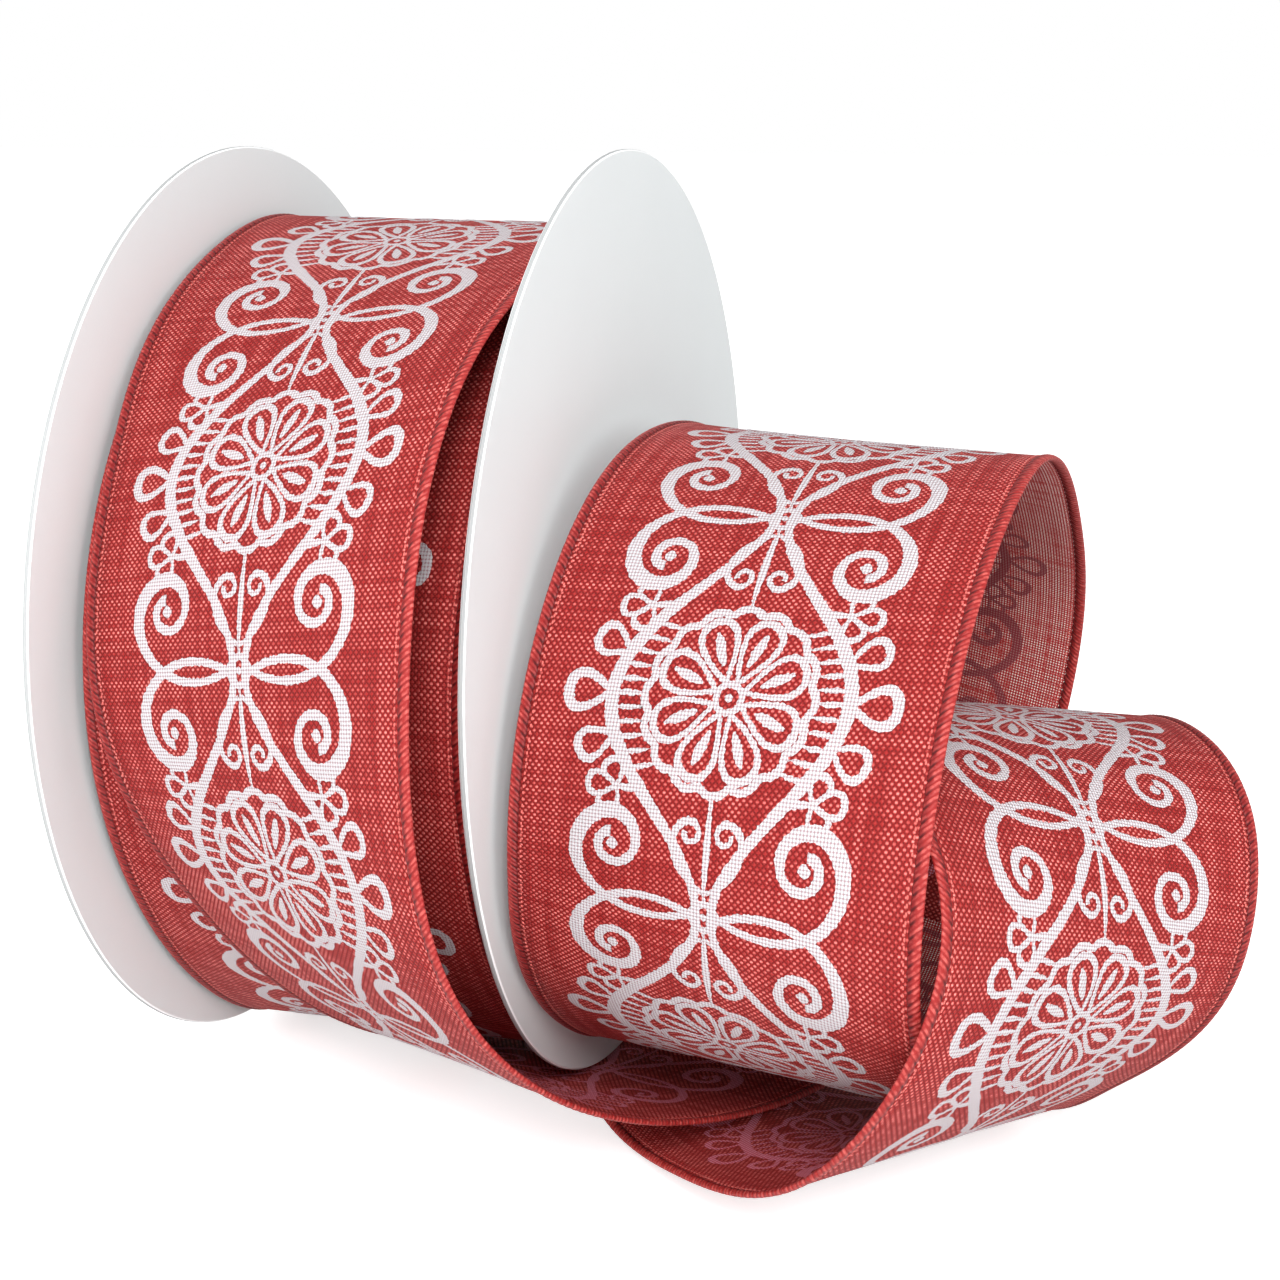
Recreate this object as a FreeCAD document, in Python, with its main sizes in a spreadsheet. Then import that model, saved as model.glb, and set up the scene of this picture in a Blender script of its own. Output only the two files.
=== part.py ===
"""Spool of wired-edge ribbon, with its loose end run out into two coils.

Frame: millimetres, origin at the middle of the spool's axis, X along that axis,
Z up.  The table that the spool and the coils stand on is a little more than a
flange radius below the origin.
"""
import FreeCAD, Part
import math
import os

import Sketcher
from FreeCAD import Vector

# --------------------------------------------------------------------------
# Driving dimensions, in millimetres
# --------------------------------------------------------------------------
SIZES = [
    ("ribbon_width", 63.5, "2 1/2 in ribbon, over both hems"),
    ("ribbon_thickness", 0.5, "woven cloth"),
    ("hem_width", 2.0, "cloth rolled over the edge wire"),
    ("hem_thickness", 0.9, "over the rolled hem"),
    ("wire_diameter", 0.35, "soft steel edge wire"),
    ("wire_clearance", 0.02, "all round the wire in its channel"),
    ("side_clearance", 1.1, "ribbon edge to flange, each side"),
    ("flange_margin", 18.0, "6 in paperboard disc stands this far beyond the wound roll"),
    ("flange_thickness", 1.0, "paperboard"),
    ("flange_chamfer", 0.25, "pressed edge of the disc"),
    ("bore_radius", 10.0, "hole for a dispenser rod"),
    ("core_radius", 25.0, "outside of the cardboard core"),
    ("core_wall", 1.5, "cardboard core"),
    ("roll_radius", 57.0, "outside of the tightly wound turns"),
    ("wound_hem_rise", 0.25, "hems stand above the cloth on the roll"),
    ("table_drop", 2.1, "table below the flange rims"),
    ("fold_length", 8.0, "flat panels that the loose ribbon's curve is made of"),
]

# The loose ribbon, as stations along its middle line, one list for each stretch
# that it is cut into.  `turn` swings the ribbon's width about the vertical and
# `tilt` lifts its right edge, in degrees.  Round the spool a station's place is
# an angle from the top towards the front, and `spring`: how far the cloth has
# sprung off the wound roll, as a share of the disc that stands beyond the roll.
#
# Inner turn: (angle, spring, flare), where flare leans its right edge outwards.
INNER_TURN = [
    (-60, 0.08, 0), (-20, 0.11, 0), (25, 0.10, 1), (55, 0.23, 3), (80, 0.44, 6),
    (105, 0.52, 6), (130, 0.56, 5), (155, 0.72, 2), (180, 0.98, -2.5),
    (215, 0.84, -1), (250, 0.58, 0), (280, 0.36, 0), (305, 0.26, 0),
]
# Outer turn and the run under the right flange: (angle, spring, place along the
# axis in ribbon widths, turn, tilt).
OUTER_TURN = [
    (-19, 0.39, 0.00, 0, -1), (18, 0.30, 0.00, 5, 2), (53, 0.68, 0.00, 17, 5),
    (84, 1.08, 0.02, 19, 8), (113, 1.29, 0.13, 29, 3), (141, 1.16, 0.33, 27, 2),
]
RUN_UNDER_FLANGE = [(169, 1.06, 0.56, 22, 3), (198, 1.04, 0.79, 26, -2)]
# Coils and tail: (out from the right flange, back from the axis, height above
# the table, all in ribbon widths, turn, tilt).
LARGE_COIL = [
    (0.47, 0.83, 0.45, 20, -9), (0.60, 0.83, 1.08, 10, -8), (0.63, 0.35, 1.54, 8, -7),
    (0.60, -0.30, 1.71, 2, 0), (0.54, -0.91, 1.38, 9, 1), (0.52, -1.13, 0.75, 14, 0),
    (0.52, -0.71, 0.31, 13, 0), (0.54, -0.11, 0.15, 8, 0), (0.59, 0.43, 0.33, -5, -6),
]
SMALL_COIL = [
    (0.70, 0.35, 0.76, -14, -10), (0.94, -0.17, 1.08, -41, -9), (1.27, -0.71, 0.99, -47, -12),
    (1.33, -0.86, 0.76, -53, -19), (1.01, -0.73, 0.21, -65, -10),
]
RIBBON_TAIL = [(0.71, -0.43, 0.035, -54, -3), (0.43, -0.13, 0.005, -65, -1)]
STRETCHES = [
    ("inner_turn", INNER_TURN), ("outer_turn", OUTER_TURN),
    ("run_under_flange", RUN_UNDER_FLANGE), ("large_coil", LARGE_COIL),
    ("small_coil", SMALL_COIL), ("ribbon_tail", RIBBON_TAIL),
]

HALF_GAP = "(Sizes.ribbon_width / 2 + Sizes.side_clearance)"
FLANGE_RADIUS = "(Sizes.roll_radius + Sizes.flange_margin)"
CORE_INSIDE = "(Sizes.core_radius - Sizes.core_wall)"


# --------------------------------------------------------------------------
# Spool: turned pieces
# --------------------------------------------------------------------------
def make_sheet(doc):
    """Put the driving dimensions into a spreadsheet, one alias for each."""
    sheet = doc.addObject("Spreadsheet::Sheet", "Sizes")
    for row, (name, value, note) in enumerate(SIZES, start=1):
        sheet.set(f"A{row}", name)
        sheet.set(f"B{row}", str(value))
        sheet.set(f"C{row}", note)
        sheet.setAlias(f"B{row}", name)
    doc.recompute()
    return sheet


def origin_plane(body, role):
    """The body's own origin plane of the given role."""
    for feature in body.Origin.OriginFeatures:
        if feature.Role == role:
            return feature
    raise LookupError(role)


def turned_body(doc, label, corners, seat, facing=1):
    """A piece turned about the spool's axis.

    corners: (distance from the seat, radius) of each corner of the half
    section, as expressions on the sheet.  seat: expression for the seat's
    place along the axis.  facing: 1 if distances run towards +X, else -1.
    """
    body = doc.addObject("PartDesign::Body", label)
    body.Label = label
    sketch = body.newObject("Sketcher::SketchObject", label + "_section")
    sketch.AttachmentSupport = [(origin_plane(body, "XZ_Plane"), "")]
    sketch.MapMode = "FlatFace"
    drawn = [Vector(body.evalExpression(x), body.evalExpression(r), 0) for x, r in corners]
    for here, after in zip(drawn, drawn[1:] + drawn[:1]):
        sketch.addGeometry(Part.LineSegment(here, after), False)
    for i, (x, r) in enumerate(corners):
        after = (i + 1) % len(corners)
        sketch.addConstraint(Sketcher.Constraint("Coincident", i, 2, after, 1))
        along = sketch.addConstraint(Sketcher.Constraint("DistanceX", -1, 1, i, 1, drawn[i].x))
        sketch.setExpression(f"Constraints[{along}]", x)
        out = sketch.addConstraint(Sketcher.Constraint("DistanceY", -1, 1, i, 1, drawn[i].y))
        sketch.setExpression(f"Constraints[{out}]", r)
    turned = body.newObject("PartDesign::Revolution", label + "_turned")
    turned.Profile = sketch
    turned.ReferenceAxis = (sketch, ["H_Axis"])
    turned.Angle = 360
    if facing < 0:
        body.Placement.Rotation = FreeCAD.Rotation(Vector(0, 0, 1), 180)
    body.setExpression(".Placement.Base.x", seat)
    return body


def make_flange(doc, label, side):
    """Paperboard disc with pressed edges and the rod hole; side is 1 right, -1 left."""
    chamfer_start = f"{FLANGE_RADIUS} - Sizes.flange_chamfer"
    corners = [
        ("0", "Sizes.bore_radius"),
        ("Sizes.flange_thickness", "Sizes.bore_radius"),
        ("Sizes.flange_thickness", chamfer_start),
        ("Sizes.flange_thickness - Sizes.flange_chamfer", FLANGE_RADIUS),
        ("Sizes.flange_chamfer", FLANGE_RADIUS),
        ("0", chamfer_start),
    ]
    return turned_body(doc, label, corners, f"{side} * {HALF_GAP}", side)


def make_core(doc):
    """Cardboard tube between the flanges, its ends flat against them."""
    length = f"2 * {HALF_GAP}"
    corners = [("0", CORE_INSIDE), (length, CORE_INSIDE),
               (length, "Sizes.core_radius"), ("0", "Sizes.core_radius")]
    return turned_body(doc, "core_tube", corners, f"-{HALF_GAP}")


def make_wound_cloth(doc):
    """The tightly wound turns between their hems, as one closed roll."""
    width = "(Sizes.ribbon_width - 2 * Sizes.hem_width)"
    corners = [("0", "Sizes.core_radius"), (width, "Sizes.core_radius"),
               (width, "Sizes.roll_radius"), ("0", "Sizes.roll_radius")]
    return turned_body(doc, "wound_cloth", corners, f"-{width} / 2")


def make_wound_hem(doc, label, side):
    """The stacked hems at one edge of the wound turns, the last one rounded."""
    crown = "(Sizes.roll_radius + Sizes.wound_hem_rise)"
    corners = [
        ("0", "Sizes.core_radius"),
        ("Sizes.hem_width", "Sizes.core_radius"),
        ("Sizes.hem_width", "Sizes.roll_radius - Sizes.hem_thickness / 2"),
        ("Sizes.hem_width / 2", crown),
        ("0", "Sizes.roll_radius"),
    ]
    seat = f"{side} * (Sizes.ribbon_width / 2 - Sizes.hem_width)"
    return turned_body(doc, label, corners, seat, side)


# --------------------------------------------------------------------------
# Loose ribbon: one strip, cut into stretches that share their end faces
# --------------------------------------------------------------------------
def width_direction(turn, tilt):
    """Unit vector across the ribbon, left hem to right hem."""
    turn = math.radians(turn)
    tilt = math.radians(tilt)
    return Vector(math.cos(turn) * math.cos(tilt), -math.sin(turn) * math.cos(tilt), math.sin(tilt))


def stations(sheet):
    """Middle-line points and width directions of the whole loose ribbon."""
    flange_face = sheet.ribbon_width / 2 + sheet.side_clearance + sheet.flange_thickness
    table = -sheet.roll_radius - sheet.flange_margin - sheet.table_drop
    corner = Vector(flange_face, 0, table)
    points = []
    widths = []
    for angle, spring, flare in INNER_TURN:
        outwards = Vector(0, -math.sin(math.radians(angle)), math.cos(math.radians(angle)))
        points.append(outwards * (sheet.roll_radius + spring * sheet.flange_margin))
        widths.append(Vector(math.cos(math.radians(flare)), 0, 0)
                      + outwards * math.sin(math.radians(flare)))
    for angle, spring, along, turn, tilt in OUTER_TURN + RUN_UNDER_FLANGE:
        outwards = Vector(0, -math.sin(math.radians(angle)), math.cos(math.radians(angle)))
        points.append(outwards * (sheet.roll_radius + spring * sheet.flange_margin)
                      + Vector(along * sheet.ribbon_width, 0, 0))
        widths.append(width_direction(turn, tilt))
    for out, back, height, turn, tilt in LARGE_COIL + SMALL_COIL + RIBBON_TAIL:
        points.append(corner + Vector(out, back, height) * sheet.ribbon_width)
        widths.append(width_direction(turn, tilt))
    return points, widths


class Strip:
    """The loose ribbon's middle line and frame, sampled along its length."""

    def __init__(self, sheet):
        points, widths = stations(sheet)
        marks = [0.0]
        for here, after in zip(points, points[1:]):
            marks.append(marks[-1] + here.distanceToPoint(after))
        middle = Part.BSplineCurve()
        middle.interpolate(Points=points, Parameters=marks)
        beside = Part.BSplineCurve()
        beside.interpolate(Points=[point + width for point, width in zip(points, widths)],
                           Parameters=marks)
        self.frames = []
        self.station_frame = []
        for here, after in zip(marks, marks[1:]):
            self.station_frame.append(len(self.frames))
            count = math.ceil((after - here) / sheet.fold_length)
            self.frames += [self.frame(middle, beside, here + (after - here) * i / count)
                            for i in range(count)]
        self.station_frame.append(len(self.frames))
        self.frames.append(self.frame(middle, beside, marks[-1]))

    @staticmethod
    def frame(middle, beside, place):
        """Centre, width direction and outward direction at a place along the strip."""
        along = middle.tangent(place)[0]
        width = beside.value(place) - middle.value(place)
        width = (width - along * width.dot(along)).normalize()
        return middle.value(place), width, along.cross(width)

    def ring(self, section, index):
        """Corners of a (side, lift) section set up at one frame of the strip."""
        centre, width, outwards = self.frames[index]
        return [centre + width * side + outwards * lift for side, lift in section]

    def skin(self, section, first, last):
        """Flat faces round a section, two to each side of it from frame to frame.

        Each pair is parted from its left corner to the next frame's right corner, so
        that the two sides of the cloth crease alike and keep their distance.
        """
        rings = [self.ring(section, index) for index in range(first, last + 1)]
        faces = []
        for here, after in zip(rings, rings[1:]):
            for i in range(len(section)):
                j = (i + 1) % len(section)
                if section[i][0] < section[j][0]:
                    halves = ((here[i], here[j], after[j]), (here[i], after[j], after[i]))
                else:
                    halves = ((here[i], here[j], after[i]), (here[j], after[j], after[i]))
                faces += [Part.Face(Part.makePolygon(half + half[:1])) for half in halves]
        return faces, [Part.makePolygon(ring + ring[:1]) for ring in (rings[0], rings[-1])]

    def solid(self, section, channels, first_station, last_station):
        """Closed solid of a section with channels running through it."""
        first = self.station_frame[first_station]
        last = self.station_frame[last_station]
        faces, wires = self.skin(section, first, last)
        ends = [[wire] for wire in wires]
        for channel in channels:
            inner_faces, inner_wires = self.skin(channel, first, last)
            faces += inner_faces
            for end, wire in zip(ends, inner_wires):
                end.append(wire)
        faces += [Part.Face(end, "Part::FaceMakerBullseye") for end in ends]
        shell = Part.Shell(faces)
        shell.sewShape()
        solid = Part.Solid(shell)
        if solid.Volume < 0:
            solid.reverse()
        return solid


def hem_middle(sheet, side):
    """Place of the edge wire across the ribbon; side is 1 right, -1 left."""
    return side * (sheet.ribbon_width / 2 - sheet.hem_width / 2)


def cloth_section(sheet):
    """Flat cloth between two rolled hems, as (side, lift) corners."""
    edge = sheet.ribbon_width / 2
    cloth = sheet.ribbon_thickness / 2
    hem = sheet.hem_thickness / 2
    inner = edge - sheet.hem_width
    crest = hem_middle(sheet, 1)
    under = [(-crest, -hem), (-inner, -cloth), (0, -cloth), (inner, -cloth), (crest, -hem)]
    over = [(side, -lift) for side, lift in reversed(under)]
    return [(-edge, 0)] + under + [(edge, 0)] + over


def diamond(middle, reach):
    """Four-sided section standing on a corner, as (side, lift) corners."""
    return [(middle - reach, 0), (middle, -reach), (middle + reach, 0), (middle, reach)]


def add_feature(doc, label, shape):
    """A sub-part whose shape is set directly, in the model's own frame."""
    feature = doc.addObject("Part::Feature", label)
    feature.Label = label
    feature.Shape = shape
    feature.Placement = FreeCAD.Placement()
    return feature


def make_loose_ribbon(doc, sheet):
    """Cloth and edge wires of every stretch of the loose ribbon."""
    strip = Strip(sheet)
    wire = sheet.wire_diameter / 2
    channel = wire + sheet.wire_clearance
    channels = [diamond(hem_middle(sheet, side), channel) for side in (-1, 1)]
    parts = []
    first = 0
    last = -1
    for name, stretch in STRETCHES:
        last += len(stretch)
        cloth = strip.solid(cloth_section(sheet), channels, first, last)
        parts.append(add_feature(doc, name, cloth))
        first = last
    for name, side in (("edge_wire_left", -1), ("edge_wire_right", 1)):
        section = diamond(hem_middle(sheet, side), wire)
        parts.append(add_feature(doc, name, strip.solid(section, [], 0, last)))
    return parts


# --------------------------------------------------------------------------
# Assembly
# --------------------------------------------------------------------------
def check(doc, parts):
    """Stop if any object failed or any sub-part has no sound shape."""
    for item in doc.Objects:
        if "Invalid" in item.State or "Error" in item.State:
            raise RuntimeError(f"{item.Label} did not compute: {item.State}")
    for part in parts:
        if part.Shape.isNull() or not part.Shape.isValid() or part.Shape.Volume <= 0:
            raise RuntimeError(f"{part.Label} has no sound solid")


def main():
    """Build every sub-part, check it and write its STEP file."""
    doc = FreeCAD.newDocument("ribbon_spool")
    sheet = make_sheet(doc)
    parts = [
        make_flange(doc, "flange_left", -1),
        make_flange(doc, "flange_right", 1),
        make_core(doc),
        make_wound_cloth(doc),
        make_wound_hem(doc, "wound_hem_left", -1),
        make_wound_hem(doc, "wound_hem_right", 1),
    ]
    parts += make_loose_ribbon(doc, sheet)
    doc.recompute()
    check(doc, parts)
    os.makedirs("parts", exist_ok=True)
    for part in parts:
        part.Shape.exportStep(f"parts/{part.Label}.step")
        print(f"{part.Label:20s} {part.Shape.Volume:10.1f} mm3")


main()
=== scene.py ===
"""Dresses the ribbon spool: printed linen ribbon, stitched wired hems and paperboard discs.

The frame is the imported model's: metres, +X along the spool's axis towards the disc
beside the coils, +Z up, -Y towards the front.  The ribbon is worked out as one surface
of two lengths, along it and across it, and every piece of it is laid on that surface.
"""

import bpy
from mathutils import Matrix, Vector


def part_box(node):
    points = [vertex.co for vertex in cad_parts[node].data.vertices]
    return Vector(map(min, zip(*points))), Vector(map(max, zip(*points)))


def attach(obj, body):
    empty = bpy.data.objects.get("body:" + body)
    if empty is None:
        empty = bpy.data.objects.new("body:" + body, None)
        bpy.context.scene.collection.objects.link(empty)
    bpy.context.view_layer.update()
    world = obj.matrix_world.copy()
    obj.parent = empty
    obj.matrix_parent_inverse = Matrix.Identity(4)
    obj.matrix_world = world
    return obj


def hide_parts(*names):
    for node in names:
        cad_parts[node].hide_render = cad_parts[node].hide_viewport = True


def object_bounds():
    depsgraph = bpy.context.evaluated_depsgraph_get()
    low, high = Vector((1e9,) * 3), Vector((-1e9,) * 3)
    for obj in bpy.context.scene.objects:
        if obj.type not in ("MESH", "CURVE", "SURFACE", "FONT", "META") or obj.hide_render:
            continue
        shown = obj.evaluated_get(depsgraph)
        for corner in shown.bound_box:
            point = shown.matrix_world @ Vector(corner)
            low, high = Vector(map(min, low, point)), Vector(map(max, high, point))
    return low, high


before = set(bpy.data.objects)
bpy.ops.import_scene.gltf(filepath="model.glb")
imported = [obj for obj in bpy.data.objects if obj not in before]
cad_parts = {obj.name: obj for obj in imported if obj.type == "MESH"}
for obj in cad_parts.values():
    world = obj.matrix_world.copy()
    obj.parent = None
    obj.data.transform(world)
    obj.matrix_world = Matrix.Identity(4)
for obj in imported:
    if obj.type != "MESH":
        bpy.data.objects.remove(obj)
CAD_BOX = [list(corner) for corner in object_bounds()]

import logging
import math
from dataclasses import dataclass, field
from enum import Enum
from typing import Callable, ClassVar, Optional

import bpy
import numpy as np
from mathutils import Vector

LOG = logging.getLogger("ribbon_spool")
MM = 0.001
Array = np.ndarray
Colour = tuple[float, float, float]
Spot = tuple[float, float]  # a place in the ornament, along and across, in millimetres
Step = tuple[float, float]  # where a smooth step starts and where it ends
Material = bpy.types.Material
Piece = bpy.types.Object
Socket = bpy.types.NodeSocket

# The loose ribbon's stations, as the part's source gives them.  Round the spool:
# (angle from the top towards the front, spring off the wound roll, flare).
INNER_TURN = [
    (-60, 0.08, 0), (-20, 0.11, 0), (25, 0.10, 1), (55, 0.23, 3), (80, 0.44, 6),
    (105, 0.52, 6), (130, 0.56, 5), (155, 0.72, 2), (180, 0.98, -2.5),
    (215, 0.84, -1), (250, 0.58, 0), (280, 0.36, 0), (305, 0.26, 0),
]
# (angle, spring, place along the axis in ribbon widths, turn, tilt)
OUTER_TURN = [
    (-19, 0.39, 0.00, 0, -1), (18, 0.30, 0.00, 5, 2), (53, 0.68, 0.00, 17, 5),
    (84, 1.08, 0.02, 19, 8), (113, 1.29, 0.13, 29, 3), (141, 1.16, 0.33, 27, 2),
]
RUN_UNDER_FLANGE = [(169, 1.06, 0.56, 22, 3), (198, 1.04, 0.79, 26, -2)]
# (out from the right disc, back from the axis, height above the table, turn, tilt)
LARGE_COIL = [
    (0.47, 0.83, 0.45, 20, -9), (0.60, 0.83, 1.08, 10, -8), (0.63, 0.35, 1.54, 8, -7),
    (0.60, -0.30, 1.71, 2, 0), (0.54, -0.91, 1.38, 9, 1), (0.52, -1.13, 0.75, 14, 0),
    (0.52, -0.71, 0.31, 13, 0), (0.54, -0.11, 0.15, 8, 0), (0.59, 0.43, 0.33, -5, -6),
]
SMALL_COIL = [
    (0.70, 0.35, 0.76, -14, -10), (0.94, -0.17, 1.08, -41, -9), (1.27, -0.71, 0.99, -47, -12),
    (1.33, -0.86, 0.76, -53, -19), (1.01, -0.73, 0.21, -65, -10),
]
RIBBON_TAIL = [(0.71, -0.43, 0.035, -54, -3), (0.43, -0.13, 0.005, -65, -1)]
STRETCHES = [INNER_TURN, OUTER_TURN, RUN_UNDER_FLANGE, LARGE_COIL, SMALL_COIL, RIBBON_TAIL]
TABLE_DROP = 2.1 * MM  # from the discs' rims down to the table
DISC_BEVEL = 0.25 * MM  # the disc's pressed chamfer
DISC_CUT_RIM = 0.04 * MM  # how far the cut edge's look reaches in over the bevel
TURN_GAP = 0.04 * MM  # between the hems of one wound turn and the next
INNER_FACE = 1.0  # added to the place across on the cloth's inner face, to tell it apart
AXIS = np.array([1.0, 0.0, 0.0])


class Side(Enum):
    """The ribbon's two edges, as the sign of the place across it."""

    LEFT = -1
    RIGHT = 1

    @property
    def label(self) -> str:
        """The edge's name as pieces carry it."""
        return self.name.lower()


def faded(colour: Colour, share: float) -> Colour:
    """A share of a colour."""
    return tuple(share * part for part in colour)


def outward(turn: Array) -> Array:
    """The direction out from the axis at turns, in radians, from the top to the front."""
    return np.stack([0 * turn, -np.sin(turn), np.cos(turn)], -1)


def in_scene(name: str, data: bpy.types.ID) -> Piece:
    """Puts new data into the scene.

    Args:
        name: the new object's name.
        data: its mesh, light or camera.

    Returns:
        The new object, at the origin.
    """
    made = bpy.data.objects.new(name, data)
    bpy.context.scene.collection.objects.link(made)
    return made


# ---------------------------------------------------------------- node wiring


class Wiring:
    """Adds and joins the nodes of one material."""

    def __init__(self, name: str) -> None:
        """Starts an empty material.

        Args:
            name: the material's name.
        """
        self.material = bpy.data.materials.new(name)
        self.material.use_nodes = True
        self.tree = self.material.node_tree
        self.tree.nodes.clear()
        self.output = self.tree.nodes.new("ShaderNodeOutputMaterial")

    def node(self, kind: str, **settings: object) -> bpy.types.Node:
        """Adds a node.

        Args:
            kind: the node's type without its ShaderNode prefix.
            settings: the node's own properties.

        Returns:
            The new node.
        """
        made = self.tree.nodes.new("ShaderNode" + kind)
        for key, value in settings.items():
            setattr(made, key, value)
        return made

    def feed(self, socket: Socket, value: object) -> None:
        """Joins an output to a socket, or writes a plain value on it.

        Args:
            socket: the input.
            value: an output socket, a number or a colour.
        """
        if isinstance(value, Socket):
            self.tree.links.new(value, socket)
        elif isinstance(value, tuple) and len(value) == 3 and len(socket.default_value) == 4:
            socket.default_value = (*value, 1.0)
        else:
            socket.default_value = value

    def math(self, operation: str, *values: object) -> Socket:
        """One sum on numbers.

        Args:
            operation: the Math node's operation.
            values: its inputs in order.

        Returns:
            The result.
        """
        made = self.node("Math", operation=operation)
        for socket, value in zip(made.inputs, values):
            self.feed(socket, value)
        return made.outputs[0]

    def times(self, first: object, second: object) -> Socket:
        """The product of two numbers."""
        return self.math("MULTIPLY", first, second)

    def size(self, value: object) -> Socket:
        """A number without its sign."""
        return self.math("ABSOLUTE", value)

    def wave(self, place: object, pitch: float) -> Socket:
        """The sine of a place, half a wave to each pitch."""
        return self.math("SINE", self.times(place, math.pi / pitch))

    def span(self, value: object, low: float, high: float) -> Socket:
        """A smooth step from 0 to 1.

        Args:
            value: the number that is tested.
            low: where the step starts.
            high: where it ends.

        Returns:
            The step's height.
        """
        made = self.node("MapRange", interpolation_type="SMOOTHSTEP")
        for socket, entry in zip(made.inputs, (value, low, high)):
            self.feed(socket, entry)
        return made.outputs[0]

    def mix(self, share: object, first: object, second: object, how: str = "MIX") -> Socket:
        """A blend of two colours.

        Args:
            share: how much of the second colour.
            first: the colour at 0.
            second: the colour at 1.
            how: the Mix node's way of blending.

        Returns:
            The blended colour.
        """
        made = self.node("Mix", data_type="RGBA", blend_type=how)
        for index, entry in ((0, share), (6, first), (7, second)):
            self.feed(made.inputs[index], entry)
        return made.outputs[2]

    def noise(self, at: Socket, grain: float, detail: float = 2.0) -> Socket:
        """Soft noise about 0.5.

        Args:
            at: where it is read.
            grain: the width of one wave in metres.
            detail: its finer octaves.

        Returns:
            The noise's height.
        """
        made = self.node("TexNoise")
        for key, entry in (("Vector", at), ("Scale", 1 / grain), ("Detail", detail)):
            self.feed(made.inputs[key], entry)
        return made.outputs["Fac"]

    def spread(self, across: object, along: object) -> Socket:
        """Two numbers as a point.

        Args:
            across: its first coordinate.
            along: its second.

        Returns:
            The point.
        """
        made = self.node("CombineXYZ")
        self.feed(made.inputs[0], across)
        self.feed(made.inputs[1], along)
        return made.outputs[0]

    def split(self, point: Socket) -> tuple[Socket, ...]:
        """A point as its three numbers.

        Args:
            point: the point.

        Returns:
            Its coordinates.
        """
        made = self.node("SeparateXYZ")
        self.feed(made.inputs[0], point)
        return tuple(made.outputs)

    def surface_place(self) -> tuple[Socket, ...]:
        """The place across and along the ribbon, in metres, from the piece's UV map."""
        return self.split(self.node("UVMap", uv_map="ribbon").outputs[0])[:2]

    def object_place(self) -> Socket:
        """The place on the piece, in metres."""
        return self.node("TexCoord").outputs["Object"]

    def finish(
        self,
        colour: object,
        roughness: object,
        height: Optional[Socket] = None,
        depth: float = 0.0,
        **plain: object,
    ) -> Material:
        """Closes the material with one shader.

        Args:
            colour: the base colour.
            roughness: how dull it is.
            height: the relief that bumps it.
            depth: the relief's full height in metres.
            plain: other inputs of the shader, with underscores for spaces.

        Returns:
            The finished material.
        """
        shader = self.node("BsdfPrincipled")
        self.feed(shader.inputs["Base Color"], colour)
        self.feed(shader.inputs["Roughness"], roughness)
        for key, value in plain.items():
            self.feed(shader.inputs[key.replace("_", " ")], value)
        if height is not None:
            bump = self.node("Bump")
            self.feed(bump.inputs["Height"], height)
            self.feed(bump.inputs["Distance"], depth)
            self.feed(shader.inputs["Normal"], bump.outputs[0])
        self.feed(self.output.inputs["Surface"], shader.outputs[0])
        return self.material


# -------------------------------------------------------------------- finishes


@dataclass(frozen=True)
class Threads:
    """What the weave is like at a place.

    The product is positive where the weft lies on top and negative where the warp does.
    Thickness, about 0.5, is how thick the threads run.  Corner is how near the place is
    to a corner between threads, and dash is the weft's float, drawn out across the ribbon.
    """

    product: Socket
    thickness: Socket
    corner: Socket
    dash: Socket

    def relief(self, wiring: Wiring, body: Socket) -> Socket:
        """The threads' body, with the weft a little higher than the warp."""
        return wiring.math("MULTIPLY_ADD", self.product, 0.35, body)


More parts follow.
